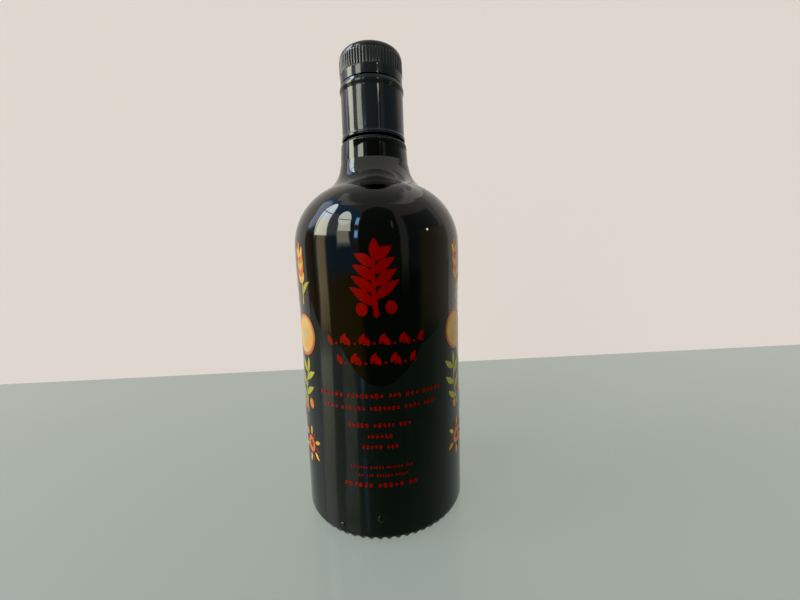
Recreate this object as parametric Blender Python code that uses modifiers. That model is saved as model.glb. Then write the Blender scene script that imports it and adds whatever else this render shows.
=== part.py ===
"""Olive oil bottle: opaque black glass with a long-skirted metal screw closure.

Metres, +Z up. The origin is the centre of the bottle's bearing ring, so the bottle
stands on z = 0. Every piece is turned about Z. The printed front faces -Y.
"""

import math

import bpy

# Driving dimensions
MM = 0.001
TOTAL_HEIGHT = 209.8 * MM
GAP = 0.3 * MM  # between two pieces that rest on each other

# Foot of the glass
FOOT_RADIUS = 38.1 * MM
HEEL_RADIUS = 4.4 * MM
BEARING_WIDTH = 3.6 * MM
PUNT_EDGE_RADIUS = 2.4 * MM
PUNT_HEIGHT = 4.2 * MM

# Side wall: a shallow recess for the print lies between two slightly fuller zones
PANEL_RADIUS = 37.95 * MM
BREAST_RADIUS = 38.55 * MM
PANEL_BOTTOM = (42.0 * MM, 62.0 * MM)  # the wall runs in between these heights
PANEL_TOP = (94.0 * MM, 119.0 * MM)  # and out again between these

# Shoulder, a round dome that turns over into the neck
SHOULDER_START = 124.0 * MM
SHOULDER_ARC = 28.6 * MM

# Neck: a straight flare above the shoulder's hollow, an edge line, and a slight cone above it
FLARE_RADIUS = 16.44 * MM
FLARE_FOOT = 158.6 * MM
NECK_RADIUS = 15.75 * MM
NECK_FOOT = 161.6 * MM
COLLAR_RADIUS = 15.25 * MM
COLLAR_TOP = 170.2 * MM
COLLAR_EDGE = 1.0 * MM

# Groove between the collar and the closure, and the plain finish inside the closure
GROOVE_RADIUS = 13.6 * MM
FINISH_RADIUS = 12.7 * MM
FINISH_CHAMFER = 1.0 * MM

# Closure: a sleeve on the neck, a torn seam line, and the cap above it
SLEEVE_BOTTOM = 171.5 * MM
SLEEVE_TOP = 195.5 * MM
SLEEVE_FOOT_RADIUS = 14.45 * MM
SLEEVE_RADIUS = 14.3 * MM
CURL_DEPTH = 0.25 * MM  # the foot of the sleeve curls outward by this
CURL_HEIGHTS = (172.7 * MM, 173.4 * MM)
BEAD_HEIGHT = 193.6 * MM
BEAD_HALF_HEIGHT = 2.2 * MM
BEAD_RADIUS = 14.75 * MM
CLOSURE_BORE = 13.0 * MM
RIM_ROUNDING = 0.45 * MM
CAP_RADIUS = 14.2 * MM
CAP_TOP_ROUNDING = 3.0 * MM
CAP_TOP_THICKNESS = 1.2 * MM
RIB_COUNT = 63
RIB_DEPTH = 0.3 * MM
RIB_BOTTOM = 200.0 * MM
RIB_TOP = 206.3 * MM
RIB_RUN_OUT = 0.35 * MM

# Sides of each turned piece
GLASS_SIDES = 64
SLEEVE_SIDES = 64
CAP_SIDES = 2 * RIB_COUNT
CREASE_ANGLE = math.radians(35.0)


def clear_scene():
    """Start from an empty scene."""
    for old in list(bpy.data.objects):
        bpy.data.objects.remove(old, do_unlink=True)


def make_material(name, color, roughness, metallic=0.0, coat=0.0):
    """A Principled material with uniform values."""
    material = bpy.data.materials.new(name)
    material.use_nodes = True
    shader = material.node_tree.nodes["Principled BSDF"]
    shader.inputs["Base Color"].default_value = (*color, 1.0)
    shader.inputs["Roughness"].default_value = roughness
    shader.inputs["Metallic"].default_value = metallic
    shader.inputs["Coat Weight"].default_value = coat
    material.diffuse_color = (*color, 1.0)
    return material


def arc(center, radius, start, end, points):
    """Points (r, z) along a round stretch, from one angle in degrees to another."""
    steps = [math.radians(start + (end - start) * i / (points - 1)) for i in range(points)]
    return [(center[0] + radius * math.cos(t), center[1] + radius * math.sin(t)) for t in steps]


def blend(value, low, high):
    """A smooth rise from 0 at low to 1 at high."""
    t = min(max((value - low) / (high - low), 0.0), 1.0)
    return t * t * (3.0 - 2.0 * t)


def wall_radius(height):
    """Outer radius of the side wall: fuller at the foot and under the shoulder."""
    into_panel = (PANEL_RADIUS - FOOT_RADIUS) * blend(height, *PANEL_BOTTOM)
    out_of_panel = (BREAST_RADIUS - PANEL_RADIUS) * blend(height, *PANEL_TOP)
    return FOOT_RADIUS + into_panel + out_of_panel


def spread(low, high, points):
    """Evenly spaced values, both ends included."""
    return [low + (high - low) * i / (points - 1) for i in range(points)]


def finish_outline():
    """The plain glass finish that carries the closure, from the axis down to the groove."""
    top = TOTAL_HEIGHT - CAP_TOP_THICKNESS - GAP
    ledge = SLEEVE_BOTTOM - GAP
    return [
        (0.0, top),
        (FINISH_RADIUS - FINISH_CHAMFER, top),
        (FINISH_RADIUS, top - FINISH_CHAMFER),
        (FINISH_RADIUS, ledge),
        (GROOVE_RADIUS, ledge),
        (GROOVE_RADIUS, COLLAR_TOP),
    ]


def hollow_arc():
    """Centre, radius, start and end of the hollow arc that touches the flare and the shoulder."""
    tilt = math.atan2(FLARE_RADIUS - NECK_RADIUS, NECK_FOOT - FLARE_FOOT)
    across = FLARE_RADIUS - (BREAST_RADIUS - SHOULDER_ARC)
    up = FLARE_FOOT - SHOULDER_START
    reach = across * math.cos(tilt) + up * math.sin(tilt)
    radius = (across**2 + up**2 - SHOULDER_ARC**2) / (2.0 * (SHOULDER_ARC - reach))
    center = (FLARE_RADIUS + radius * math.cos(tilt), FLARE_FOOT + radius * math.sin(tilt))
    turn = math.atan2(center[1] - SHOULDER_START, center[0] - (BREAST_RADIUS - SHOULDER_ARC))
    return center, radius, math.degrees(tilt), math.degrees(turn)


def shoulder_outline():
    """Collar, neck and shoulder, down to the side wall."""
    center, radius, tilt, turn = hollow_arc()
    edge_center = (COLLAR_RADIUS - COLLAR_EDGE, COLLAR_TOP - COLLAR_EDGE)
    outline = arc(edge_center, COLLAR_EDGE, 90.0, 0.0, 5)
    outline.append((NECK_RADIUS, NECK_FOOT))
    outline += arc(center, radius, 180.0 + tilt, 180.0 + turn, 8)
    outline += arc((BREAST_RADIUS - SHOULDER_ARC, SHOULDER_START), SHOULDER_ARC, turn, 0.0, 12)[1:]
    return outline


def foot_outline():
    """Heel, flat bearing ring and the shallow punt, in to the axis."""
    ring_outer = FOOT_RADIUS - HEEL_RADIUS
    ring_inner = ring_outer - BEARING_WIDTH
    outline = arc((ring_outer, HEEL_RADIUS), HEEL_RADIUS, 0.0, -90.0, 6)
    outline += arc((ring_inner, PUNT_EDGE_RADIUS), PUNT_EDGE_RADIUS, -90.0, -150.0, 4)
    edge_radius, edge_height = outline[-1]
    for share in (0.7, 0.35, 0.0):
        height = edge_height + (PUNT_HEIGHT - edge_height) * (1.0 - share**2)
        outline.append((edge_radius * share, height))
    return outline


def glass_outline():
    """Half section of the bottle, down its outer side and in under its foot."""
    heights = [SHOULDER_START - 3.0 * MM]
    heights += spread(PANEL_TOP[1], PANEL_TOP[0], 5)
    heights += spread(PANEL_BOTTOM[1], PANEL_BOTTOM[0], 4)
    heights += [(PANEL_BOTTOM[0] + HEEL_RADIUS) / 2.0]
    wall = [(wall_radius(height), height) for height in heights]
    return finish_outline() + shoulder_outline() + wall + foot_outline()


def sleeve_radius(height):
    """Outer radius of the sleeve: a slight taper, a curled foot and a bead under the seam."""
    share = (height - SLEEVE_BOTTOM) / (SLEEVE_TOP - SLEEVE_BOTTOM)
    plain = SLEEVE_FOOT_RADIUS + (SLEEVE_RADIUS - SLEEVE_FOOT_RADIUS) * share
    plain += CURL_DEPTH * (1.0 - blend(height, *CURL_HEIGHTS))
    offset = min(abs(height - BEAD_HEIGHT) / BEAD_HALF_HEIGHT, 1.0)
    return plain + (BEAD_RADIUS - SLEEVE_RADIUS) * 0.5 * (1.0 + math.cos(math.pi * offset))


def sleeve_outline():
    """Closed section of the sleeve, down the outside and back up the bore."""
    top_rounding = 0.5 * RIM_ROUNDING
    top_radius = sleeve_radius(SLEEVE_TOP - top_rounding)
    foot_radius = sleeve_radius(SLEEVE_BOTTOM + RIM_ROUNDING)
    outline = [(CLOSURE_BORE, SLEEVE_TOP)]
    outline += arc((top_radius - top_rounding, SLEEVE_TOP - top_rounding), top_rounding, 90.0, 0.0, 3)
    for height in spread(BEAD_HEIGHT + 0.4 * BEAD_HALF_HEIGHT, BEAD_HEIGHT - BEAD_HALF_HEIGHT, 6):
        outline.append((sleeve_radius(height), height))
    outline += [(sleeve_radius(height), height) for height in reversed(CURL_HEIGHTS)]
    rim_center = (foot_radius - RIM_ROUNDING, SLEEVE_BOTTOM + RIM_ROUNDING)
    outline += arc(rim_center, RIM_ROUNDING, 0.0, -90.0, 4)
    outline.append((CLOSURE_BORE, SLEEVE_BOTTOM))
    return outline


def cap_outline():
    """Half section of the cap, a cup over the finish, from the axis round to the axis."""
    bottom = SLEEVE_TOP + GAP
    rounding = 0.5 * RIM_ROUNDING
    edge_center = (CAP_RADIUS - CAP_TOP_ROUNDING, TOTAL_HEIGHT - CAP_TOP_ROUNDING)
    ceiling = TOTAL_HEIGHT - CAP_TOP_THICKNESS
    outline = [(0.0, TOTAL_HEIGHT)]
    outline += arc(edge_center, CAP_TOP_ROUNDING, 90.0, 0.0, 6)
    for height in (RIB_TOP, RIB_BOTTOM, RIB_BOTTOM - RIB_RUN_OUT, bottom + rounding):
        outline.append((CAP_RADIUS, height))
    outline += [(CAP_RADIUS - rounding, bottom), (CLOSURE_BORE, bottom)]
    outline += [(CLOSURE_BORE, ceiling - FINISH_CHAMFER)]
    outline += [(CLOSURE_BORE - FINISH_CHAMFER, ceiling), (0.0, ceiling)]
    return outline


def turned(name, outline, sides, material, collection):
    """One closed solid, turned about Z from a section that runs down its outer side."""
    mesh = bpy.data.meshes.new(name)
    points = [(radius, 0.0, height) for radius, height in outline]
    edges = [(i, i + 1) for i in range(len(points) - 1)]
    if outline[0][0] > 0.0:
        edges.append((len(points) - 1, 0))
    mesh.from_pydata(points, edges, [])
    piece = bpy.data.objects.new(name, mesh)
    collection.objects.link(piece)
    screw = piece.modifiers.new("Turn", "SCREW")
    screw.axis = "Z"
    screw.angle = math.tau
    screw.steps = sides
    screw.render_steps = sides
    screw.use_merge_vertices = True
    screw.merge_threshold = 0.00001
    apply_modifiers(piece)
    piece.data.materials.append(material)
    return piece


def apply_modifiers(piece):
    """Keep the evaluated mesh and drop the modifiers that made it."""
    bpy.context.view_layer.update()
    evaluated = piece.evaluated_get(bpy.context.evaluated_depsgraph_get())
    mesh = bpy.data.meshes.new_from_object(evaluated)
    piece.modifiers.clear()
    piece.data = mesh


def cut_ribs(cap):
    """Raise and sink the cap's grip band by turns, so that upright ribs stand round it."""
    outer = CLOSURE_BORE + 0.5 * (CAP_RADIUS - CLOSURE_BORE)
    for vertex in cap.data.vertices:
        radius = math.hypot(vertex.co.x, vertex.co.y)
        in_band = RIB_BOTTOM - 0.01 * MM < vertex.co.z < RIB_TOP + 0.01 * MM
        if in_band and radius > outer:
            turn = math.atan2(vertex.co.y, vertex.co.x)
            ribbed = CAP_RADIUS + 0.5 * RIB_DEPTH * math.cos(RIB_COUNT * turn)
            vertex.co.x *= ribbed / radius
            vertex.co.y *= ribbed / radius


def shade(piece):
    """Smooth shading that stays crisp at real edges."""
    piece.data.shade_smooth()
    piece.data.set_sharp_from_angle(angle=CREASE_ANGLE)


def build():
    """Make the bottle and the two pieces of its closure."""
    clear_scene()
    parts = bpy.data.collections.new("Olive_Oil_Bottle")
    bpy.context.scene.collection.children.link(parts)
    black_glass = make_material("black_glass", (0.006, 0.008, 0.006), 0.04)
    black_lacquer = make_material("black_lacquer", (0.010, 0.011, 0.012), 0.25, 0.0, 1.0)
    glass = turned("glass_bottle", glass_outline(), GLASS_SIDES, black_glass, parts)
    sleeve = turned("closure_sleeve", sleeve_outline(), SLEEVE_SIDES, black_lacquer, parts)
    cap = turned("screw_cap", cap_outline(), CAP_SIDES, black_lacquer, parts)
    cut_ribs(cap)
    for piece in (glass, sleeve, cap):
        shade(piece)


build()
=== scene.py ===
"""Looks of the olive oil bottle: black glass, enamel print, lacquered screw closure.

Metres, +Z up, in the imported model's own frame. The printed front faces -Y. Azimuth is
counted from -Y, positive towards +X.
"""

import math
import random

import bmesh
import bpy
from mathutils import Matrix, Vector
from mathutils.geometry import tessellate_polygon


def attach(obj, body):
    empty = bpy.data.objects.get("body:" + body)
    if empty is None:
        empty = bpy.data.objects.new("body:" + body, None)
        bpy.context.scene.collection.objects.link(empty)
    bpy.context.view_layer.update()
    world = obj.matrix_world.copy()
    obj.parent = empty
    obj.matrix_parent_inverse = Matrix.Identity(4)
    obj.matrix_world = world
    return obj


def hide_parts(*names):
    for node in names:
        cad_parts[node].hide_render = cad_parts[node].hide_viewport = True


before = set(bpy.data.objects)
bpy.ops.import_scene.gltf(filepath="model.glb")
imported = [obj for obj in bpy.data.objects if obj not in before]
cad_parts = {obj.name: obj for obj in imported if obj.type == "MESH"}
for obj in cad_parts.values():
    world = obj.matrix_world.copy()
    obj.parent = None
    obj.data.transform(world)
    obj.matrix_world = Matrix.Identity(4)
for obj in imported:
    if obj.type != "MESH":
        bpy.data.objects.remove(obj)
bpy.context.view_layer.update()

# Sizes shared with the solid model
MM = 0.001
TOTAL_HEIGHT = 209.8 * MM
GAP = 0.3 * MM
FOOT_RADIUS = 38.1 * MM
HEEL_RADIUS = 4.4 * MM
BEARING_WIDTH = 3.6 * MM
PUNT_EDGE_RADIUS = 2.4 * MM
PUNT_HEIGHT = 4.2 * MM
PANEL_RADIUS = 37.95 * MM
BREAST_RADIUS = 38.55 * MM
PANEL_BOTTOM = (42.0 * MM, 62.0 * MM)
PANEL_TOP = (94.0 * MM, 119.0 * MM)
SHOULDER_START = 124.0 * MM
SHOULDER_ARC = 28.6 * MM
FLARE_RADIUS = 16.44 * MM
FLARE_FOOT = 158.6 * MM
NECK_RADIUS = 15.75 * MM
NECK_FOOT = 161.6 * MM
COLLAR_RADIUS = 15.25 * MM
COLLAR_TOP = 170.2 * MM
COLLAR_EDGE = 1.0 * MM
GROOVE_RADIUS = 13.6 * MM
FINISH_RADIUS = 12.7 * MM
FINISH_CHAMFER = 1.0 * MM
SLEEVE_BOTTOM = 171.5 * MM
SLEEVE_TOP = 195.5 * MM
SLEEVE_FOOT_RADIUS = 14.45 * MM
SLEEVE_RADIUS = 14.3 * MM
CURL_DEPTH = 0.25 * MM
CURL_HEIGHTS = (172.7 * MM, 173.4 * MM)
BEAD_HEIGHT = 193.6 * MM
BEAD_HALF_HEIGHT = 2.2 * MM
BEAD_RADIUS = 14.75 * MM
CLOSURE_BORE = 13.0 * MM
RIM_ROUNDING = 0.45 * MM
CAP_RADIUS = 14.2 * MM
CAP_TOP_ROUNDING = 3.0 * MM
CAP_TOP_THICKNESS = 1.2 * MM
RIB_COUNT = 63
RIB_DEPTH = 0.3 * MM
RIB_BOTTOM = 200.0 * MM
RIB_TOP = 206.3 * MM
RIB_RUN_OUT = 0.35 * MM
BEARING_OUTER = FOOT_RADIUS - HEEL_RADIUS
BEARING_INNER = BEARING_OUTER - BEARING_WIDTH

# Fine shape of the looks
TOOTH_COUNT = 61  # knurled teeth round the bearing ring
TOOTH_DEPTH = 1.2 * MM
TOOTH_AZIMUTH = 0.4  # degrees, one tooth's middle
TOOTH_FADE = (1.6 * MM, 3.4 * MM)  # heights over which the teeth die out
TOOTH_INSIDE = (BEARING_INNER - 0.6 * MM, BEARING_INNER + 1.4 * MM)  # radii over which they begin
TOOTH_POWER = 0.8  # below 1 the gaps between the teeth are narrower
TOOTH_LEAN = 0.6  # share of the cut that is also taken off sideways, at the heel
RIB_POWER = 0.9  # below 1 the ribs are fuller
GLASS_SIDES = 8 * TOOTH_COUNT
SLEEVE_SIDES = 240
CAP_SIDES = 12 * RIB_COUNT
CREASE_ANGLE = math.radians(35.0)
HOLLOW_HEIGHT = 150.5 * MM  # where a band of dust, also painted light, lightens the hollow between neck and shoulder
ON_AXIS = 1e-7  # a smaller radius counts as the axis
SLACK = 1e-6  # metres
# Unevenness: depth in mm, waves round, mm of height for each radian, phase
GLASS_WAVES = (
    (0.016, 3, 19.0, 0.4), (0.012, 7, -11.0, 1.9), (0.006, 13, 7.3, 0.0), (0.010, 2, 6.1, 0.0),
)
GLASS_WAVES_RISE = (2.0, 14.0)  # mm of height
GLASS_WAVES_FALL = (158.0, 166.0)
SLEEVE_WAVES = ((0.020, 5, 8.0, 0.7), (0.012, 11, -5.0, 0.0))
SLEEVE_WAVES_RISE = (173.5, 177.0)
SLEEVE_WAVES_FALL = (189.0, 191.5)

# Enamel print. Its shapes are drawn flat, in millimetres across the glass and up it.
PRINT_AZIMUTH = -2.2  # degrees, middle of the front print
ENAMEL_LIFT = 0.05 * MM
ENAMEL_LAYER = 0.025 * MM
ENAMEL_SINK = 0.06 * MM
NEIGHBOUR_LIFT = 0.15  # of a layer, so that neighbours in a layer don't lie level
NEIGHBOUR_CYCLE = 5
PRINT_CELL = (1.6, 4.0)  # mm, largest flat piece across and up

# Camera
CAMERA_PLACE = (0.0, -0.16634, 0.11563)
CAMERA_FOCAL = 338.0  # pixels, in a frame 800 wide
CAMERA_DOWN, CAMERA_YAW, CAMERA_ROLL = (math.radians(a) for a in (6.253, 3.443, 1.834))
FRAME_WIDTH = 800
SENSOR_WIDTH = 36.0
CLIP_START = 0.01

random.seed(11)


# Helpers

def arc(center, radius, start, end, points):
    """Points (r, z) along a round stretch, from one angle in degrees to another."""
    steps = [math.radians(start + (end - start) * i / (points - 1)) for i in range(points)]
    return [(center[0] + radius * math.cos(t), center[1] + radius * math.sin(t)) for t in steps]


def blend(value, low, high):
    """A smooth rise from 0 at low to 1 at high."""
    t = min(max((value - low) / (high - low), 0.0), 1.0)
    return t * t * (3.0 - 2.0 * t)


def spread(low, high, points):
    """Evenly spaced values, both ends included."""
    return [low + (high - low) * i / (points - 1) for i in range(points)]


def between(start, end, shares):
    """Points of a section along a straight stretch, at shares of its length."""
    return [tuple(a + (b - a) * share for a, b in zip(start, end)) for share in shares]


def polar(radius, azimuth, height):
    """The point at a radius and azimuth (radians) round the bottle's axis."""
    return (radius * math.sin(azimuth), -radius * math.cos(azimuth), height)


def make_object(name, vertices, faces, material):
    """A smooth shaded mesh piece that rides on the bottle."""
    mesh = bpy.data.meshes.new(name)
    mesh.from_pydata(vertices, [], faces)
    mesh.validate()
    work = bmesh.new()
    work.from_mesh(mesh)
    bmesh.ops.recalc_face_normals(work, faces=work.faces)
    work.to_mesh(mesh)
    work.free()
    mesh.shade_smooth()
    mesh.set_sharp_from_angle(angle=CREASE_ANGLE)
    mesh.materials.append(material)
    piece = bpy.data.objects.new(name, mesh)
    bpy.context.scene.collection.objects.link(piece)
    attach(piece, "root")
    return piece


def revolve(outline, sides, place):
    """Vertices and faces turned from a section; place(r, z, azimuth) gives each point."""
    vertices, faces, rings = [], [], []
    for radius, height in outline:
        if radius < ON_AXIS:
            rings.append([len(vertices)])
            vertices.append((0.0, 0.0, height))
            continue
        rings.append(list(range(len(vertices), len(vertices) + sides)))
        for step in range(sides):
            azimuth = math.tau * step / sides
            vertices.append(place(radius, height, azimuth))
    pairs = list(zip(rings, rings[1:]))
    if outline[0][0] > ON_AXIS:
        pairs.append((rings[-1], rings[0]))
    for upper, lower in pairs:
        for step in range(sides):
            after = (step + 1) % sides
            if len(upper) == 1:
                faces.append((upper[0], lower[after], lower[step]))
            elif len(lower) == 1:
                faces.append((upper[step], upper[after], lower[0]))
            else:
                faces.append((upper[step], upper[after], lower[after], lower[step]))
    return vertices, faces


def add(tree, kind, inputs=None, **settings):
    """A shader node with its settings, and its inputs set or linked."""
    made = tree.nodes.new(kind)
    for key, value in settings.items():
        setattr(made, key, value)
    for key, value in (inputs or {}).items():
        if isinstance(value, bpy.types.NodeSocket):
            tree.links.new(value, made.inputs[key])
        else:
            made.inputs[key].default_value = value
    return made


def math_step(tree, operation, *values):
    """A number from one step of arithmetic."""
    return add(tree, "ShaderNodeMath", dict(enumerate(values)), operation=operation).outputs[0]


def vector_step(tree, operation, *values):
    """A vector from one step of arithmetic."""
    made = add(tree, "ShaderNodeVectorMath", dict(enumerate(values)), operation=operation)
    return made.outputs[0]


def vector_length(tree, value):
    """The length of a vector."""
    made = add(tree, "ShaderNodeVectorMath", {0: value}, operation="LENGTH")
    return made.outputs["Value"]


# Camera

def make_camera():
    """Camera at the view's own place, turned by its yaw, tilt and roll."""
    forward = Vector((
        math.sin(CAMERA_YAW) * math.cos(CAMERA_DOWN),
        math.cos(CAMERA_YAW) * math.cos(CAMERA_DOWN),
        -math.sin(CAMERA_DOWN),
    ))
    level = Vector((math.cos(CAMERA_YAW), -math.sin(CAMERA_YAW), 0.0))
    down = forward.cross(level)
    right = math.cos(CAMERA_ROLL) * level + math.sin(CAMERA_ROLL) * down
    up = math.sin(CAMERA_ROLL) * level - math.cos(CAMERA_ROLL) * down
    turn = Matrix((right, up, -forward)).transposed().to_4x4()
    data = bpy.data.cameras.new("camera")
    data.sensor_width = SENSOR_WIDTH
    data.lens = CAMERA_FOCAL * SENSOR_WIDTH / FRAME_WIDTH
    data.clip_start = CLIP_START
    camera = bpy.data.objects.new("camera", data)
    camera.matrix_world = Matrix.Translation(CAMERA_PLACE) @ turn
    bpy.context.scene.collection.objects.link(camera)
    bpy.context.scene.camera = camera


make_camera()


# Glass

def wall_radius(height):
    """Outer radius of the side wall: fuller at the foot and under the shoulder."""
    into_panel = (PANEL_RADIUS - FOOT_RADIUS) * blend(height, *PANEL_BOTTOM)
    out_of_panel = (BREAST_RADIUS - PANEL_RADIUS) * blend(height, *PANEL_TOP)
    return FOOT_RADIUS + into_panel + out_of_panel


def outer_radius(height):
    """Outer radius from the heel to the lower part of the shoulder."""
    if height <= SHOULDER_START:
        return wall_radius(height)
    rise = height - SHOULDER_START
    return BREAST_RADIUS - SHOULDER_ARC + math.sqrt(SHOULDER_ARC**2 - rise**2)


def uneven(waves, rise, fall, azimuth, height):
    """Slight unevenness in metres: waves that rise and fall again with the height."""
    z = height / MM
    total = 0.0
    for depth, lobes, pitch, phase in waves:
        total += depth * math.sin(lobes * azimuth + z / pitch + phase)
    fade = blend(z, *rise) * (1.0 - blend(z, *fall))
    return total * fade * MM


def ripple(azimuth, height):
    """Slight unevenness of moulded glass, in metres."""
    return uneven(GLASS_WAVES, GLASS_WAVES_RISE, GLASS_WAVES_FALL, azimuth, height)


def tooth_gap(azimuth):
    """How far the glass is cut back between two teeth of the foot, from 0 to 1."""
    turn = azimuth - math.radians(TOOTH_AZIMUTH)
    return 1.0 - abs(math.cos(0.5 * TOOTH_COUNT * turn)) ** TOOTH_POWER


def glass_point(radius, height, azimuth):
    """A point of the glass: rippled walls, and teeth round the bearing ring."""
    outward = radius
    if radius > GROOVE_RADIUS + SLACK:
        outward += ripple(azimuth, height)
    low = 1.0 - blend(height, *TOOTH_FADE)
    cut = TOOTH_DEPTH * low * blend(radius, *TOOTH_INSIDE) * tooth_gap(azimuth)
    lean = blend(radius, BEARING_OUTER, FOOT_RADIUS - 0.4 * HEEL_RADIUS)
    return polar(outward - TOOTH_LEAN * cut * lean, azimuth, height + cut)


def hollow_arc():
    """Centre, radius, start and end of the hollow arc that touches the flare and the shoulder."""
    tilt = math.atan2(FLARE_RADIUS - NECK_RADIUS, NECK_FOOT - FLARE_FOOT)
    across = FLARE_RADIUS - (BREAST_RADIUS - SHOULDER_ARC)
    up = FLARE_FOOT - SHOULDER_START
    reach = across * math.cos(tilt) + up * math.sin(tilt)
    radius = (across**2 + up**2 - SHOULDER_ARC**2) / (2.0 * (SHOULDER_ARC - reach))
    center = (FLARE_RADIUS + radius * math.cos(tilt), FLARE_FOOT + radius * math.sin(tilt))
    turn = math.atan2(center[1] - SHOULDER_START, center[0] - (BREAST_RADIUS - SHOULDER_ARC))
    return center, radius, math.degrees(tilt), math.degrees(turn)


def glass_outline():
    """Half section of the bottle, down its outer side and in under its foot."""
    top = TOTAL_HEIGHT - CAP_TOP_THICKNESS - GAP
    ledge = SLEEVE_BOTTOM - GAP
    outline = [(0.0, top), (FINISH_RADIUS - FINISH_CHAMFER, top)]
    outline += [(FINISH_RADIUS, top - FINISH_CHAMFER), (FINISH_RADIUS, ledge)]
    outline += [(GROOVE_RADIUS, ledge), (GROOVE_RADIUS, COLLAR_TOP)]
    center, radius, tilt, turn = hollow_arc()
    edge_center = (COLLAR_RADIUS - COLLAR_EDGE, COLLAR_TOP - COLLAR_EDGE)
    outline += arc(edge_center, COLLAR_EDGE, 90.0, 0.0, 12)
    neck_foot = (NECK_RADIUS, NECK_FOOT)
    outline += between(outline[-1], neck_foot, (0.04, 0.3, 0.6, 0.9, 0.98, 1.0))
    outline += between(neck_foot, (FLARE_RADIUS, FLARE_FOOT), (0.04, 0.2, 0.6, 0.95))
    outline += arc(center, radius, 180.0 + tilt, 180.0 + turn, 26)
    outline += arc((BREAST_RADIUS - SHOULDER_ARC, SHOULDER_START), SHOULDER_ARC, turn, 0.0, 40)[1:]
    heights = spread(SHOULDER_START - 2.0 * MM, HEEL_RADIUS + 3.0 * MM, 34)
    outline += [(wall_radius(height), height) for height in heights]
    outline += arc((BEARING_OUTER, HEEL_RADIUS), HEEL_RADIUS, 0.0, -90.0, 20)
    outline += [(radius, 0.0) for radius in spread(BEARING_OUTER, BEARING_INNER, 6)[1:-1]]
    outline += arc((BEARING_INNER, PUNT_EDGE_RADIUS), PUNT_EDGE_RADIUS, -90.0, -150.0, 7)
    edge_radius, edge_height = outline[-1]
    for share in spread(1.0, 0.0, 10)[1:]:
        height = edge_height + (PUNT_HEIGHT - edge_height) * (1.0 - share**2)
        outline.append((edge_radius * share, height))
    return outline


def on_glass(across, height, lift):
    """Where a flat print position (mm) falls on the glass, lifted off it along its normal."""
    azimuth = math.radians(PRINT_AZIMUTH) + across * MM / PANEL_RADIUS
    z = height * MM
    step = 0.1 * MM
    slope = (outer_radius(z + step) - outer_radius(z - step)) / (2.0 * step)
    tilt = math.hypot(1.0, slope)
    radius = outer_radius(z) + ripple(azimuth, z) + lift / tilt
    return polar(radius, azimuth, z - lift * slope / tilt)


# Materials

def new_material(name, **values):
    """A Principled material; uniform values go straight onto the shader's sockets."""
    material = bpy.data.materials.new(name)
    material.use_nodes = True
    tree = material.node_tree
    shader = tree.nodes["Principled BSDF"]
    for key, value in values.items():
        shader.inputs[key.replace("_", " ")].default_value = value
    return material, tree, shader


def noise(tree, scale, detail=3.0, rough=0.5, stretch=(1.0, 1.0, 1.0)):
    """Noise over the object, with scale in features per metre."""
    place = add(tree, "ShaderNodeTexCoord").outputs["Object"]
    mapped = add(tree, "ShaderNodeMapping", {"Vector": place, "Scale": stretch})
    values = {"Vector": mapped.outputs[0], "Scale": scale, "Detail": detail, "Roughness": rough}
    return add(tree, "ShaderNodeTexNoise", values).outputs["Fac"]


def ranged(tree, value, low, high, to_low, to_high):
    """A value taken smoothly from one range to another."""
    limits = {"Value": value, "From Min": low, "From Max": high}
    limits.update({"To Min": to_low, "To Max": to_high})
    return add(tree, "ShaderNodeMapRange", limits, interpolation_type="SMOOTHSTEP").outputs[0]


def mixed(tree, share, first, second):
    """Two colours mixed by a share."""
    mixer = add(tree, "ShaderNodeMix", {0: share}, data_type="RGBA")
    for slot, color in ((6, first), (7, second)):
        if isinstance(color, bpy.types.NodeSocket):
            tree.links.new(color, mixer.inputs[slot])
        else:
            mixer.inputs[slot].default_value = (*color, 1.0)
    return mixer.outputs[2]


def bump(tree, shader, height, distance, strength=1.0):
    """Fine relief from a height value."""
    values = {"Height": height, "Distance": distance, "Strength": strength}
    made = add(tree, "ShaderNodeBump", values)
    tree.links.new(made.outputs[0], shader.inputs["Normal"])


GLASS_TONES = ((0.0014, 0.0017, 0.0008), (0.0008, 0.0010, 0.0006))
# Dust in the hollow between neck and shoulder, also painted light that stands in for the ceiling's
# reflection there
HOLLOW_DUST_AND_LIGHT = (0.016, 0.016, 0.015)
LOOSE_DUST = (0.020, 0.020, 0.018)
# Paler matt tone of the groove: painted light that lifts the groove out of the sleeve's shade
GROOVE_PAINTED_LIGHT = (0.060, 0.066, 0.068)
GROOVE_ROUGHNESS = 0.6
GROOVE_EDGE = 0.1 * MM
LACQUER_TONES = ((0.0140, 0.0160, 0.0180), (0.0165, 0.0190, 0.0210))
WORN_TONE = (0.031, 0.033, 0.032)
ENAMEL_TONES = {
    "red": ((0.228, 0.0075, 0.0055), (0.200, 0.0060, 0.0045)),
    "orange": ((0.62, 0.20, 0.035), (0.52, 0.10, 0.018)),
    "yellow": ((0.70, 0.43, 0.085), (0.66, 0.31, 0.045)),
    "green": ((0.42, 0.36, 0.045), (0.33, 0.30, 0.030)),
    "beige": ((0.50, 0.45, 0.30), (0.44, 0.38, 0.22)),
}


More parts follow.
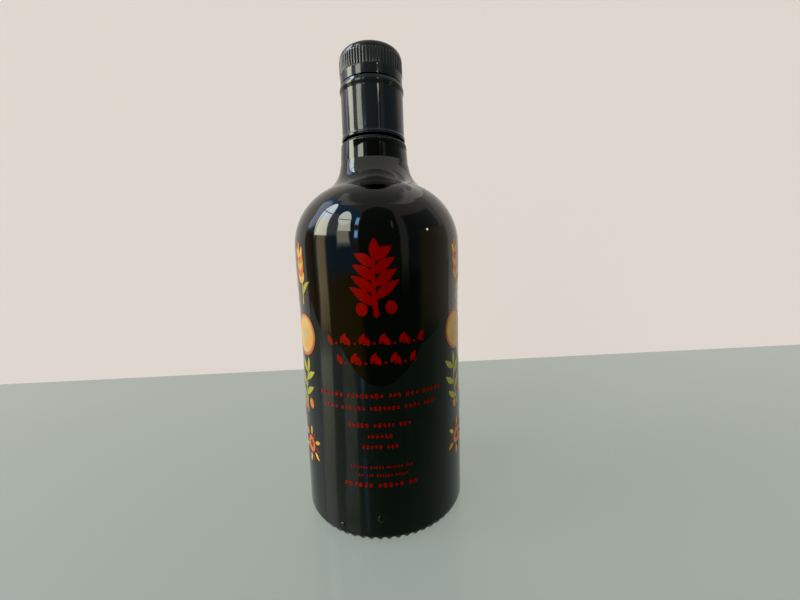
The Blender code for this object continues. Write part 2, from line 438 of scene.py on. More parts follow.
def glass_material():
    """Opaque black glass: deep gloss with faint wipe marks and a little dust, a dust band in the
    hollow that also paints in light, and a matt groove whose paler tone is painted light.
    """
    material, tree, shader = new_material("black_glass", IOR=1.52)
    smears = noise(tree, 55.0, 4.0, 0.6, (1.0, 1.0, 0.35))
    gloss = ranged(tree, smears, 0.45, 0.75, 0.022, 0.085)
    place = add(tree, "ShaderNodeTexCoord").outputs["Object"]
    height = add(tree, "ShaderNodeSeparateXYZ", {0: place}).outputs[2]
    edge = (COLLAR_TOP - GROOVE_EDGE, COLLAR_TOP + GROOVE_EDGE)
    groove = ranged(tree, height, *edge, 0.0, GROOVE_ROUGHNESS)
    tree.links.new(math_step(tree, "MAXIMUM", gloss, groove), shader.inputs["Roughness"])
    shine = ranged(tree, groove, 0.0, GROOVE_ROUGHNESS, 0.5, 0.25)
    tree.links.new(shine, shader.inputs["Specular IOR Level"])
    dust = ranged(tree, noise(tree, 2600.0, 2.0), 0.70, 0.78, 0.0, 0.5)
    tint = mixed(tree, noise(tree, 18.0), *GLASS_TONES)
    away = math_step(tree, "ABSOLUTE", math_step(tree, "SUBTRACT", height, HOLLOW_HEIGHT))
    # A band of dust round the hollow that also paints in the light its reflection lacks
    hollow_dust_and_light = ranged(tree, away, 1.0 * MM, 5.0 * MM, 1.0, 0.0)
    tint = mixed(tree, dust, mixed(tree, hollow_dust_and_light, tint, HOLLOW_DUST_AND_LIGHT), LOOSE_DUST)
    # The groove's paler tone is painted light in the sleeve's shade
    groove_light_share = ranged(tree, groove, 0.0, GROOVE_ROUGHNESS, 0.0, 1.0)
    tree.links.new(mixed(tree, groove_light_share, tint, GROOVE_PAINTED_LIGHT), shader.inputs["Base Color"])
    bump(tree, shader, noise(tree, 160.0, 2.0, 0.4), 0.00002, 0.5)
    return material


def enamel_material(name, color, deep):
    """Fired enamel: an uneven colour with a soft gloss and tiny pores."""
    material, tree, shader = new_material(name, IOR=1.42, Specular_IOR_Level=0.35)
    shade = ranged(tree, noise(tree, 90.0, 3.0), 0.35, 0.68, 0.0, 1.0)
    tree.links.new(mixed(tree, shade, color, deep), shader.inputs["Base Color"])
    rough = ranged(tree, noise(tree, 700.0), 0.3, 0.7, 0.28, 0.34)
    tree.links.new(rough, shader.inputs["Roughness"])
    bump(tree, shader, noise(tree, 1500.0, 3.0), 0.000003, 0.05)
    return material


def lacquer_material():
    """Black lacquer on drawn aluminium: glossy coat, faint drawing lines, worn rib crests."""
    material, tree, shader = new_material("closure_lacquer", IOR=1.46)
    lines = noise(tree, 500.0, 3.0, 0.6, (1.0, 1.0, 0.04))
    tree.links.new(ranged(tree, lines, 0.3, 0.7, 0.05, 0.12), shader.inputs["Roughness"])
    place = add(tree, "ShaderNodeTexCoord").outputs["Object"]
    reach = vector_length(tree, vector_step(tree, "MULTIPLY", place, (1.0, 1.0, 0.0)))
    crest = CAP_RADIUS + 0.5 * RIB_DEPTH
    worn = ranged(tree, reach, crest - 0.20 * MM, crest + 0.02 * MM, 0.0, 0.8)
    height = add(tree, "ShaderNodeSeparateXYZ", {0: place}).outputs[2]
    ribbed = ranged(tree, height, RIB_BOTTOM - 0.5 * MM, RIB_BOTTOM + 0.5 * MM, 0.0, 1.0)
    worn = math_step(tree, "MULTIPLY", worn, ribbed)
    base = mixed(tree, noise(tree, 240.0), *LACQUER_TONES)
    tree.links.new(mixed(tree, worn, base, WORN_TONE), shader.inputs["Base Color"])
    bump(tree, shader, lines, 0.00001, 0.4)
    return material


black_glass = glass_material()
lacquer = lacquer_material()
enamels = {}
for color, tones in ENAMEL_TONES.items():
    enamels[color] = enamel_material("enamel_" + color, *tones)

vertices, faces = revolve(glass_outline(), GLASS_SIDES, glass_point)
glass = make_object("glass_body", vertices, faces, black_glass)
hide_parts("glass_bottle")


# Closure

def sleeve_radius(height):
    """Outer radius of the sleeve: a slight taper, a curled foot and a bead under the seam."""
    share = (height - SLEEVE_BOTTOM) / (SLEEVE_TOP - SLEEVE_BOTTOM)
    plain = SLEEVE_FOOT_RADIUS + (SLEEVE_RADIUS - SLEEVE_FOOT_RADIUS) * share
    plain += CURL_DEPTH * (1.0 - blend(height, *CURL_HEIGHTS))
    offset = min(abs(height - BEAD_HEIGHT) / BEAD_HALF_HEIGHT, 1.0)
    return plain + (BEAD_RADIUS - SLEEVE_RADIUS) * 0.5 * (1.0 + math.cos(math.pi * offset))


def sleeve_outline():
    """Closed section of the sleeve, down the outside and back up the bore."""
    top_rounding = 0.5 * RIM_ROUNDING
    top_radius = sleeve_radius(SLEEVE_TOP - top_rounding)
    foot_radius = sleeve_radius(SLEEVE_BOTTOM + RIM_ROUNDING)
    outline = [(CLOSURE_BORE, SLEEVE_TOP)]
    top_center = (top_radius - top_rounding, SLEEVE_TOP - top_rounding)
    outline += arc(top_center, top_rounding, 90.0, 0.0, 6)
    bead_foot = BEAD_HEIGHT - BEAD_HALF_HEIGHT
    heights = spread(SLEEVE_TOP - 1.5 * top_rounding, bead_foot, 22)
    heights += spread(bead_foot, CURL_HEIGHTS[1], 12)[1:]
    heights += spread(CURL_HEIGHTS[1], CURL_HEIGHTS[0], 7)[1:]
    outline += [(sleeve_radius(height), height) for height in heights]
    rim_center = (foot_radius - RIM_ROUNDING, SLEEVE_BOTTOM + RIM_ROUNDING)
    outline += arc(rim_center, RIM_ROUNDING, 0.0, -90.0, 8)
    outline.append((CLOSURE_BORE, SLEEVE_BOTTOM))
    return outline


def sleeve_point(radius, height, azimuth):
    """A point of the sleeve, whose thin metal is pressed slightly uneven on the neck."""
    if radius > CLOSURE_BORE + SLACK:
        radius += uneven(SLEEVE_WAVES, SLEEVE_WAVES_RISE, SLEEVE_WAVES_FALL, azimuth, height)
    return polar(radius, azimuth, height)


def cap_outline():
    """Half section of the cap, a cup over the finish, from the axis round to the axis."""
    bottom = SLEEVE_TOP + GAP
    rounding = 0.5 * RIM_ROUNDING
    edge_center = (CAP_RADIUS - CAP_TOP_ROUNDING, TOTAL_HEIGHT - CAP_TOP_ROUNDING)
    ceiling = TOTAL_HEIGHT - CAP_TOP_THICKNESS
    outline = [(0.0, TOTAL_HEIGHT), (0.5 * edge_center[0], TOTAL_HEIGHT)]
    outline += arc(edge_center, CAP_TOP_ROUNDING, 90.0, 0.0, 14)
    heights = spread(RIB_TOP, RIB_TOP - 2.0 * RIB_RUN_OUT, 7)
    heights += spread(RIB_BOTTOM + 2.0 * RIB_RUN_OUT, RIB_BOTTOM - RIB_RUN_OUT, 9)
    heights += spread(RIB_BOTTOM - 3.0 * RIB_RUN_OUT, bottom + rounding, 6)
    outline += [(CAP_RADIUS, height) for height in heights]
    outline += arc((CAP_RADIUS - rounding, bottom + rounding), rounding, 0.0, -90.0, 5)
    outline += [(CLOSURE_BORE, bottom), (CLOSURE_BORE, ceiling - FINISH_CHAMFER)]
    outline += [(CLOSURE_BORE - FINISH_CHAMFER, ceiling), (0.0, ceiling)]
    return outline


def cap_point(radius, height, azimuth):
    """A point of the cap, with upright rounded ribs round its grip band."""
    if radius < CAP_RADIUS - SLACK:
        return polar(radius, azimuth, height)
    band = blend(height, RIB_BOTTOM - RIB_RUN_OUT, RIB_BOTTOM + RIB_RUN_OUT)
    band *= 1.0 - blend(height, RIB_TOP - RIB_RUN_OUT, RIB_TOP + RIB_RUN_OUT)
    crest = 2.0 * abs(math.cos(0.5 * RIB_COUNT * azimuth)) ** RIB_POWER - 1.0
    return polar(radius + 0.5 * RIB_DEPTH * crest * band, azimuth, height)


vertices, faces = revolve(sleeve_outline(), SLEEVE_SIDES, sleeve_point)
sleeve = make_object("neck_sleeve", vertices, faces, lacquer)
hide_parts("closure_sleeve")
vertices, faces = revolve(cap_outline(), CAP_SIDES, cap_point)
cap = make_object("ribbed_cap", vertices, faces, lacquer)
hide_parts("screw_cap")


# Flat print shapes
# A shape is a list of loops of (across, up) points in mm; loops after the first are holes.

def oval(wide, high, points=20):
    """An oval, or a disc where both sizes are the same."""
    steps = [math.tau * i / points for i in range(points)]
    return [[(0.5 * wide * math.cos(t), 0.5 * high * math.sin(t)) for t in steps]]


def leaf(length, width, bend=0.0, points=11):
    """A pointed leaf from the origin along the first axis, fullest before its middle."""
    sides = ([], [])
    for share in spread(0.0, 1.0, points):
        half = 0.5 * width * math.sin(math.pi * share**0.85) ** 0.9 if 0.0 < share < 1.0 else 0.0
        middle = bend * math.sin(math.pi * share)
        sides[0].append((length * share, middle + half))
        sides[1].append((length * share, middle - half))
    return [sides[1] + sides[0][-2:0:-1]]


def stroke(points, start_width, end_width):
    """A drawn line with round ends through a list of points."""
    left, right = [], []
    count = len(points)
    for i, point in enumerate(points):
        before, after = points[max(i - 1, 0)], points[min(i + 1, count - 1)]
        along = math.atan2(after[1] - before[1], after[0] - before[0])
        half = 0.5 * (start_width + (end_width - start_width) * i / (count - 1))
        side = (-half * math.sin(along), half * math.cos(along))
        left.append((point[0] + side[0], point[1] + side[1]))
        right.append((point[0] - side[0], point[1] - side[1]))
        if i in (0, count - 1):
            reach = half if i else -half
            tip = (point[0] + reach * math.cos(along), point[1] + reach * math.sin(along))
            (right if i else left).insert(count if i else 0, tip)
    return [left + right[::-1]]


def sector(inner, outer, half_angle, points=7):
    """A citrus segment pointing along the first axis, with a round outer side."""
    sweep = spread(-half_angle, half_angle, points)
    rim = [(outer * math.cos(math.radians(a)), outer * math.sin(math.radians(a))) for a in sweep]
    return [[(inner, 0.0)] + rim]


def placed(shape, at, degrees=0.0, size=1.0):
    """A shape turned, sized and moved."""
    c, s = size * math.cos(math.radians(degrees)), size * math.sin(math.radians(degrees))
    return [[(at[0] + c * x - s * y, at[1] + s * x + c * y) for x, y in loop] for loop in shape]


def curve(length, bend, points=9):
    """Points of a gently bent line from the origin along the first axis."""
    return [(length * t, bend * math.sin(math.pi * t)) for t in spread(0.0, 1.0, points)]


# Motifs: lists of (colour, layer, shape) about their middle, some 20 mm high

def citrus_wheel():
    """A cut citrus fruit."""
    shapes = [("orange", 0, oval(18.0, 18.0, 36)), ("beige", 1, oval(15.4, 15.4, 32))]
    for step in range(9):
        shapes.append(("yellow", 2, placed(sector(1.3, 7.0, 16.5), (0.0, 0.0), 40.0 * step)))
    return shapes


def olive_sprig():
    """A sprig with narrow leaves and two olives."""
    shapes = [("beige", 0, placed(stroke(curve(21.0, 1.6), 0.8, 0.5), (0.0, -10.5), 90.0))]
    for step in range(5):
        height = -6.0 + 3.6 * step
        side = 1.0 if step % 2 else -1.0
        stem = -1.6 * math.sin(math.pi * (height + 10.5) / 21.0)
        at = (stem + 0.4 * side, height)
        shapes.append(("green", 1, placed(leaf(8.6, 2.7, 0.5), at, 90.0 - 48.0 * side)))
    shapes.append(("green", 1, placed(leaf(7.0, 2.5), (-0.1, 8.6), 88.0)))
    for across, height in ((-3.6, -8.2), (3.9, -4.6)):
        shapes.append(("orange", 1, placed(oval(3.6, 4.6), (across, height), 18.0)))
        shapes.append(("yellow", 2, placed(oval(0.9, 1.6, 10), (across - 0.7, height + 0.7), 18.0)))
    return shapes


def wheat_ear():
    """A ripe ear on its stalk."""
    shapes = [("yellow", 0, placed(stroke(curve(21.0, -1.0), 0.7, 0.5), (0.0, -11.5), 90.0))]
    for step in range(5):
        height = -2.6 + 2.7 * step
        for side in (-1.0, 1.0):
            grain = placed(leaf(5.2, 2.3), (0.35 * side + 0.7, height), 90.0 - 30.0 * side)
            shapes.append(("orange" if step % 2 else "yellow", 1, grain))
    shapes.append(("orange", 1, placed(leaf(5.0, 2.1), (0.3, 10.3), 90.0)))
    shapes.append(("green", 1, placed(leaf(8.5, 2.2, 0.9), (0.9, -7.4), 38.0)))
    return shapes


def sun():
    """A sun with pointed rays."""
    shapes = [("orange", 1, oval(7.4, 7.4, 24)), ("red", 2, oval(3.2, 3.2, 16))]
    for step in range(12):
        long = 4.4 if step % 2 else 3.2
        angle = 30.0 * step
        start = (4.6 * math.cos(math.radians(angle)), 4.6 * math.sin(math.radians(angle)))
        color = "yellow" if step % 2 else "red"
        shapes.append((color, 1, placed(leaf(long, 1.8, 0.0, 7), start, angle)))
    return shapes


def berries():
    """Three berries and a leaf."""
    shapes = []
    for across, height in ((-1.7, 0.0), (1.6, 0.6), (0.1, -2.6)):
        shapes.append(("red", 0, placed(oval(3.0, 3.0, 16), (across, height))))
        shapes.append(("beige", 1, placed(oval(0.7, 0.7, 8), (across - 0.5, height + 0.5))))
    shapes.append(("green", 0, placed(leaf(5.0, 2.0), (0.2, 2.2), 66.0)))
    return shapes


def moved(motif, at, degrees=0.0, size=1.0):
    """A whole motif turned, sized and moved."""
    return [(color, layer, placed(shape, at, degrees, size)) for color, layer, shape in motif]


# Wrapped pattern: staggered columns of motifs from one side of the front to the other
COLUMN_STEP = 30.0  # degrees
FIRST_COLUMN = 60.0
COLUMN_COUNT = 9
ROW_STEP = 25.0  # mm
TOP_ROW = 111.0
MOTIFS = (wheat_ear, citrus_wheel, olive_sprig, sun)
MOTIF_TURN = 14.0  # degrees either way
BERRY_ROWS = (7.0, -84.0)  # mm from the top row
BERRY_TURN = 40.0
BERRY_SIZE = 0.9

# Front print: half length, height on the glass and height of the marks in each row, in mm
GARLANDS = ((19.0, 84.4, 4.6), (14.8, 76.6, 4.6))
BEAD_ROWS = (
    (26.4, 63.8, 2.8), (24.7, 58.7, 2.6), (12.8, 51.7, 2.6), (5.0, 47.1, 2.5),
    (7.3, 42.7, 2.4), (12.9, 34.0, 1.6), (10.5, 30.6, 1.6), (15.6, 26.4, 3.0),
)


def across_at(azimuth):
    """Print position across, in mm, of an azimuth in degrees."""
    return math.radians(azimuth - PRINT_AZIMUTH) * PANEL_RADIUS / MM


def wrap_pattern():
    """All the motifs round the sides and the back."""
    shapes = []
    for column in range(COLUMN_COUNT):
        middle = across_at(FIRST_COLUMN + COLUMN_STEP * column)
        staggered = column % 2
        rows = 3 if staggered else 4
        for row in range(rows):
            height = TOP_ROW - ROW_STEP * (row + 0.5 * staggered)
            motif = MOTIFS[(row + 2 * column + staggered) % len(MOTIFS)]
            shapes += moved(motif(), (middle, height), random.uniform(-MOTIF_TURN, MOTIF_TURN))
        for row in BERRY_ROWS if staggered else ():
            turn = random.uniform(-BERRY_TURN, BERRY_TURN)
            shapes += moved(berries(), (middle, TOP_ROW + row), turn, BERRY_SIZE)
    return shapes


def front_emblem():
    """A bold olive branch."""
    shapes = [("red", 0, placed(stroke(curve(27.0, 0.8), 2.2, 1.4), (0.0, 95.9), 90.0))]
    for step in range(4):
        height = 101.0 + 4.9 * step
        length = 11.8 - 1.1 * step
        for side in (-1.0, 1.0):
            at = (0.4 * side - 0.4, height + 1.2 * side)
            shapes.append(("red", 1, placed(leaf(length, 4.0, 0.5 * side), at, 90.0 - 52.0 * side)))
    shapes.append(("red", 1, placed(leaf(8.0, 3.8), (0.0, 117.4), 90.0)))
    for across, height in ((-5.6, 98.4), (5.8, 98.9)):
        shapes.append(("red", 1, placed(oval(4.6, 5.4), (across, height), 12.0)))
    return shapes


def garland(half_length, height, tall):
    """A running band of small leaves and dots."""
    shapes = []
    across = -half_length
    step = 0
    while across < half_length - 1.0:
        lean = 62.0 if step % 2 else 118.0
        foot = height + (0.1 if step % 2 else -0.1) * tall
        shapes.append(("red", 0, placed(leaf(1.05 * tall, 0.46 * tall), (across, foot), lean)))
        dot = oval(0.22 * tall, 0.22 * tall, 10)
        shapes.append(("red", 1, placed(dot, (across + 0.42 * tall, height + 0.12 * tall))))
        across += 0.86 * tall
        step += 1
    return shapes


def bead_row(half_length, height, tall):
    """A row of small beads in uneven groups."""
    shapes = []
    across = -half_length
    left = random.randint(3, 7)
    while across < half_length:
        high = tall * random.uniform(0.5, 0.85)
        wide = tall * random.uniform(0.36, 0.5)
        lean = random.uniform(-18.0, 18.0)
        shapes.append(("red", 0, placed(oval(wide, high, 10), (across, height), lean)))
        across += wide + 0.28 * tall
        left -= 1
        if left == 0:
            left = random.randint(3, 8)
            across += 0.5 * tall
    return shapes


def front_print():
    """Everything printed on the front."""
    shapes = front_emblem()
    for row in GARLANDS:
        shapes += garland(*row)
    for row in BEAD_ROWS:
        shapes += bead_row(*row)
    return shapes


def cut_to_cells(work):
    """Cut a flat shape along upright and level lines so that it can follow the glass."""
    for axis, cell in ((0, PRINT_CELL[0]), (2, PRINT_CELL[1])):
        values = [vertex.co[axis] for vertex in work.verts]
        line = math.floor(min(values) / cell) + 1
        while line * cell < max(values):
            place, normal = Vector(), Vector()
            place[axis] = line * cell
            normal[axis] = 1.0
            parts = work.verts[:] + work.edges[:] + work.faces[:]
            bmesh.ops.bisect_plane(work, geom=parts, dist=1e-5, plane_co=place, plane_no=normal)
            line += 1


def slab(shape, lift, vertices, faces):
    """Add one shape as a thin closed layer of enamel that follows the glass."""
    work = bmesh.new()
    loops = [[Vector((x, 0.0, y)) for x, y in loop] for loop in shape]
    corners = [work.verts.new(point) for loop in loops for point in loop]
    for triangle in tessellate_polygon(loops):
        work.faces.new([corners[i] for i in triangle])
    cut_to_cells(work)
    first = len(vertices)
    count = len(work.verts)
    work.verts.index_update()
    for height in (lift, -ENAMEL_SINK):
        vertices.extend(on_glass(vertex.co.x, vertex.co.z, height) for vertex in work.verts)
    for face in work.faces:
        ring = [first + vertex.index for vertex in face.verts]
        faces.append(ring)
        faces.append([count + i for i in reversed(ring)])
    for edge in work.edges:
        if edge.is_boundary:
            a, b = (first + vertex.index for vertex in edge.verts)
            faces.append([a, b, count + b, count + a])
    work.free()


def make_print():
    """One enamel piece for each colour."""
    shapes = front_print() + wrap_pattern()
    for color, material in enamels.items():
        vertices, faces = [], []
        for index, (own, layer, shape) in enumerate(shapes):
            if own == color:
                level = layer + NEIGHBOUR_LIFT * (index % NEIGHBOUR_CYCLE)
                slab(shape, ENAMEL_LIFT + ENAMEL_LAYER * level, vertices, faces)
        make_object("print_" + color, vertices, faces, material)


make_print()


# Mould marks low on the glass
MOULD_MARKS = ((-4.6, 11.4, 2.3, 2.9), (-30.5, 6.4, 2.4, 1.8))  # azimuth, then mm: place, size
MARK_LEVELS = ((1.12, -0.10), (1.0, 0.02), (0.86, 0.16), (0.62, 0.26), (0.32, 0.30))
MARK_TOP = 0.31  # mm off the glass, as the second values of the levels


def mould_marks():
    """Two small raised lugs near the foot."""
    vertices, faces = [], []
    for azimuth, height, wide, high in MOULD_MARKS:
        middle = across_at(azimuth)
        outline = oval(wide, high, 24)[0]
        first = len(vertices)
        for size, lift in MARK_LEVELS:
            for x, y in outline:
                vertices.append(on_glass(middle + size * x, height + size * y, lift * MM))
        vertices.append(on_glass(middle, height, MARK_TOP * MM))
        count = len(outline)
        for level in range(len(MARK_LEVELS) - 1):
            for i in range(count):
                a, b = first + level * count + i, first + level * count + (i + 1) % count
                faces.append((a, b, b + count, a + count))
        last = first + (len(MARK_LEVELS) - 1) * count
        for i in range(count):
            faces.append((last + i, last + (i + 1) % count, len(vertices) - 1))
        faces.append([first + i for i in reversed(range(count))])
    make_object("mould_marks", vertices, faces, black_glass)


mould_marks()


# Stage
# In metres and degrees; only the narrow card is in millimetres. CEILING, SURROUND and SHADE
# are tones of the room, which the cards near the bottle take on where they are seen at a slant.
WALL_PLACE = 0.210  # behind the bottle's axis
WALL_REACH = 0.60  # to each side
WALL_HEIGHT = 0.55
FLOOR_REACH = 0.80  # to each side, along the backdrop
FLOOR_FRONT = (0.30, -0.22)  # half width and place of the floor's front edge
CEILING = (0.55, 0.55, 0.53)
SURROUND = (0.60, 0.58, 0.55)
SHADE = (0.36, 0.37, 0.36)
RING_TONE = (1.08, 1.06, 0.98)
RINGS = (  # height, inner and outer radius, more at the sides, start, far slants and their tone
    (0.181, 0.031, 0.0418, 0.004, -62.0, (0.42, 0.50), SHADE),
    (0.240, 0.050, 0.0740, 0.012, -68.0, (0.15, 0.19), SURROUND),
)
RING_END = 205.0
RING_POINTS = 61
RING_WIDENS = (15.0, 60.0)  # azimuths to each side
RING_SLANTS = (0.060, 0.105)  # where the ceiling's tone gives way to RING_TONE
CARD_SLANTS = (0.30, 0.42)
CARD_MIDDLE = (25.9, -69.3)
CARD_AZIMUTH = 22.8
CARD_HALF_WIDTH = 2.0
CARD_LEVELS = (  # foot, top and tone
    (196.0, 212.0, (1.2, 1.2, 1.15)),
    (212.0, 218.0, (4.6, 4.4, 3.9)),
    (218.0, 228.0, (14.0, 13.0, 10.5)),
)
LAMP_PLACE = (0.2175, -0.0958, 0.2012)
LAMP_RADIUS = 0.0065
LAMP_TONE = (13.0, 13.5, 14.0)
FLOOR_COLOR = (0.232, 0.265, 0.262)  # under light
WALL_COLOR = (0.84, 0.74, 0.77)
FLOOR_TONE = (0.355, 0.398, 0.352)  # given off
WALL_TONE = (0.78, 0.71, 0.64)
GLOW = 0.75  # share of the stage's own tone that it gives off, so that its shadows stay faint


def stage_mesh(name, corners, faces, material):
    """A piece of the stage."""
    mesh = bpy.data.meshes.new(name)
    mesh.from_pydata(corners, [], faces)
    mesh.materials.append(material)
    piece = bpy.data.objects.new(name, mesh)
    bpy.context.scene.collection.objects.link(piece)
    return piece


def reflected_only(name, corners, faces, tone):
    """A glowing piece of the stage that shows only as a reflection."""
    material, tree, shader = new_material(
        name + "_glow", Roughness=1.0, Base_Color=(0.0, 0.0, 0.0, 1.0), Specular_IOR_Level=0.0,
        Emission_Color=(*tone, 1.0), Emission_Strength=1.0,
    )
    piece = stage_mesh(name, corners, faces, material)
    piece.visible_camera = False
    piece.visible_diffuse = False
    piece.visible_shadow = False
    return tree, shader


def toned_by_slant(tree, shader, tone, steps):
    """A card's glow, which passes to the next tone over each range of slants."""
    slant = add(tree, "ShaderNodeLayerWeight", {"Blend": 0.5}).outputs["Facing"]
    for slants, following in steps:
        tone = mixed(tree, ranged(tree, slant, *slants, 0.0, 1.0), tone, following)
    tree.links.new(tone, shader.inputs["Emission Color"])


def make_rings():
    """Level part rings of pale card, one round the closure and one above it."""
    for index, (level, inner, outer, wider, start, far, far_tone) in enumerate(RINGS):
        corners, faces = [], []
        for step, azimuth in enumerate(spread(start, RING_END, RING_POINTS)):
            wide = outer + wider * blend(abs(azimuth), *RING_WIDENS)
            corners += [polar(radius, math.radians(azimuth), level) for radius in (inner, wide)]
            if step:
                last = 2 * step
                faces.append((last - 2, last - 1, last + 1, last))
        tree, shader = reflected_only("ring_%d" % index, corners, faces, RING_TONE)
        toned_by_slant(tree, shader, CEILING, ((RING_SLANTS, RING_TONE), (far, far_tone)))


def make_card():
    """A narrow upright card in front of the closure, brightest at its top."""
    turn = math.radians(CARD_AZIMUTH)
    across = (CARD_HALF_WIDTH * math.cos(turn), CARD_HALF_WIDTH * math.sin(turn))
    for index, (low, high, glow) in enumerate(CARD_LEVELS):
        corners = []
        for side, level in ((-1.0, low), (1.0, low), (1.0, high), (-1.0, high)):
            place = (CARD_MIDDLE[0] + side * across[0], CARD_MIDDLE[1] + side * across[1], level)
            corners.append(Vector(place) * MM)
        tree, shader = reflected_only("card_%d" % index, corners, [(0, 1, 2, 3)], glow)
        toned_by_slant(tree, shader, glow, ((CARD_SLANTS, SURROUND),))


def make_lamp():
    """A small round lamp to the right of the bottle."""
    work = bmesh.new()
    bmesh.ops.create_icosphere(work, subdivisions=3, radius=LAMP_RADIUS)
    corners = [tuple(vertex.co + Vector(LAMP_PLACE)) for vertex in work.verts]
    faces = [[vertex.index for vertex in face.verts] for face in work.faces]
    work.free()
    reflected_only("side_lamp", corners, faces, LAMP_TONE)


def glowing(shader, color, tone):
    """Split a stage surface's tone between its own glow and the light that falls on it."""
    shader.inputs["Base Color"].default_value = (*(c * (1.0 - GLOW) for c in color), 1.0)
    shader.inputs["Emission Color"].default_value = (*tone, 1.0)
    shader.inputs["Emission Strength"].default_value = GLOW


def make_stage():
    """A pale glossy floor and a pale matt backdrop."""
    floor, _, shader = new_material(
        "floor_finish", Roughness=0.6, IOR=1.5, Coat_Weight=0.4, Coat_Roughness=0.10,
    )
    glowing(shader, FLOOR_COLOR, FLOOR_TONE)
    wall, _, shader = new_material("backdrop_finish", Roughness=0.9)
    glowing(shader, WALL_COLOR, WALL_TONE)
    y = WALL_PLACE
    corners = [(-FLOOR_FRONT[0], FLOOR_FRONT[1], 0.0), (FLOOR_FRONT[0], FLOOR_FRONT[1], 0.0)]
    corners += [(FLOOR_REACH, y, 0.0), (-FLOOR_REACH, y, 0.0)]
    stage_mesh("floor", corners, [(0, 1, 2, 3)], floor)
    corners = [(-WALL_REACH, y, 0.0), (WALL_REACH, y, 0.0)]
    corners += [(WALL_REACH, y, WALL_HEIGHT), (-WALL_REACH, y, WALL_HEIGHT)]
    stage_mesh("backdrop", corners, [(0, 1, 2, 3)], wall)


make_stage()
make_rings()
make_card()
make_lamp()


# Light
UNSEEN_SIDE = (0.72, 0.66, 0.61)  # what the camera sees past the stage
CEILING_START = (62.0, 78.0)  # degrees of elevation
BLACK_POINT = 0.014  # linear level shown as black
# Soft panels seen from the bottle: shape, azimuth, elevation, half width, half height
# (degrees), edge softness, lean (degrees of azimuth for each degree up) and colour in
# linear units. A later one covers an earlier one.
PANELS = (
    ("box", 0.0, -45.0, 181.0, 45.0, 0.02, 0.0, (0.33, 0.345, 0.33)),
    ("box", -58.0, -20.0, 34.0, 24.0, 0.20, 0.0, (0.50, 0.43, 0.34)),
    ("box", 2.5, 24.0, 27.5, 30.0, 0.06, 0.0, (0.36, 0.37, 0.36)),
    ("oval", 2.5, 50.0, 27.5, 13.0, 0.08, 0.0, (0.36, 0.37, 0.36)),
    ("box", 70.0, 20.0, 30.0, 24.0, 0.08, 0.0, (0.375, 0.385, 0.395)),
    ("box", 84.0, 5.0, 26.0, 15.0, 0.20, 0.0, (0.47, 0.44, 0.37)),
    ("box", 35.0, 28.0, 4.5, 32.0, 0.20, 0.0, (0.57, 0.56, 0.54)),
    ("box", -80.0, 24.0, 50.0, 28.0, 0.12, 0.0, (0.40, 0.47, 0.58)),
    ("oval", -78.0, 44.0, 52.0, 18.0, 0.12, 0.0, (0.40, 0.58, 0.86)),
    ("box", -112.0, 2.0, 20.0, 15.0, 0.12, 0.0, (0.33, 0.28, 0.24)),
    ("box", -67.0, 30.0, 9.0, 15.0, 0.20, -0.22, (0.88, 0.94, 1.00)),
    ("box", -80.0, 4.0, 7.5, 14.0, 0.30, 0.0, (2.0, 1.6, 1.0)),
    ("oval", -110.0, 36.0, 15.0, 16.0, 0.15, 0.0, (1.7, 1.9, 2.5)),
    ("box", -86.0, 30.0, 11.0, 15.5, 0.06, -0.25, (9.0, 9.0, 7.0)),
    ("oval", -89.0, 44.0, 10.5, 11.5, 0.06, -0.25, (8.2, 9.2, 10.2)),
    ("box", -88.0, 43.0, 13.0, 0.6, 0.4, 0.0, (1.2, 1.5, 2.0)),
    ("box", -94.0, 32.0, 0.7, 18.0, 0.4, -0.1, (2.5, 2.8, 3.2)),
    ("box", -46.5, 13.0, 8.5, 9.0, 0.20, -0.15, (3.0, 2.8, 2.2)),
    ("box", -48.0, 31.0, 9.5, 10.0, 0.06, -0.20, (6.8, 7.1, 5.8)),
    ("oval", -51.5, 40.5, 11.0, 11.0, 0.06, -0.20, (8.6, 9.2, 8.2)),
    ("box", -51.0, 38.5, 12.0, 0.6, 0.4, 0.0, (1.0, 1.3, 1.8)),
    ("box", -29.0, 37.0, 2.4, 5.5, 0.40, 0.0, (3.2, 5.6, 9.5)),
    ("box", -28.0, 16.0, 2.2, 5.5, 0.40, 0.0, (3.2, 5.6, 9.5)),
    ("oval", 21.5, 31.0, 1.4, 6.0, 0.4, 0.0, (0.95, 0.85, 0.75)),
)


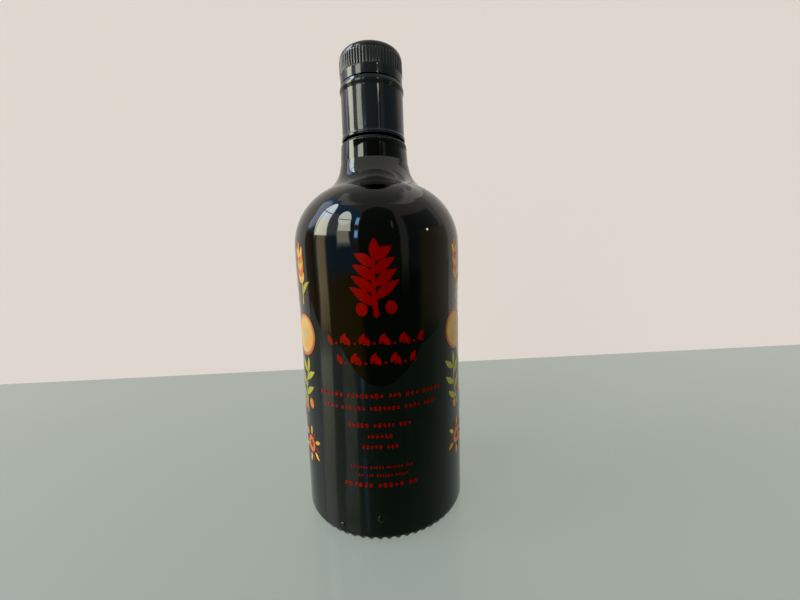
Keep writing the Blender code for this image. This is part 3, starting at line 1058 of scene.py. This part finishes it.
def make_light():
    """The light: soft panels on the world, by direction, and a plain pale tone for the camera."""
    world = bpy.data.worlds.new("studio")
    bpy.context.scene.world = world
    world.use_nodes = True
    tree = world.node_tree
    tree.nodes.clear()
    direction = add(tree, "ShaderNodeTexCoord").outputs["Generated"]
    parts = add(tree, "ShaderNodeSeparateXYZ", {0: direction}).outputs
    around = math_step(tree, "ARCTAN2", parts[0], math_step(tree, "MULTIPLY", parts[1], -1.0))
    above = math_step(tree, "ARCSINE", parts[2])
    angles = add(tree, "ShaderNodeCombineXYZ", {0: around, 1: above}).outputs[0]
    to_degrees = {0: angles, "Scale": math.degrees(1.0)}
    angles = add(tree, "ShaderNodeVectorMath", to_degrees, operation="SCALE").outputs[0]
    height = add(tree, "ShaderNodeSeparateXYZ", {0: angles}).outputs[1]
    color = mixed(tree, ranged(tree, height, *CEILING_START, 0.0, 1.0), SURROUND, CEILING)
    for kind, azimuth, elevation, half_width, half_height, soft, lean, panel in PANELS:
        sheared = angles
        if lean:
            drift = math_step(tree, "MULTIPLY", height, -lean)
            drift = add(tree, "ShaderNodeCombineXYZ", {0: drift}).outputs[0]
            sheared = vector_step(tree, "ADD", angles, drift)
        middle = (azimuth - lean * elevation, elevation, 0.0)
        offset = vector_step(tree, "SUBTRACT", sheared, middle)
        scaled = vector_step(tree, "DIVIDE", offset, (half_width, half_height, 1.0))
        if kind == "oval":
            reach = vector_length(tree, scaled)
        else:
            ends = vector_step(tree, "ABSOLUTE", scaled)
            sides = add(tree, "ShaderNodeSeparateXYZ", {0: ends}).outputs
            reach = math_step(tree, "MAXIMUM", sides[0], sides[1])
        share = ranged(tree, reach, 1.0 - soft, 1.0 + soft, 1.0, 0.0)
        color = mixed(tree, share, color, panel)
    seen = add(tree, "ShaderNodeLightPath").outputs["Is Camera Ray"]
    light = add(tree, "ShaderNodeBackground", {0: mixed(tree, seen, color, UNSEEN_SIDE)})
    output = add(tree, "ShaderNodeOutputWorld")
    tree.links.new(light.outputs[0], output.inputs[0])


make_light()
view = bpy.context.scene.view_settings
view.view_transform = "Standard"
view.use_curve_mapping = True
view.curve_mapping.black_level = (BLACK_POINT, BLACK_POINT, BLACK_POINT)
view.curve_mapping.update()
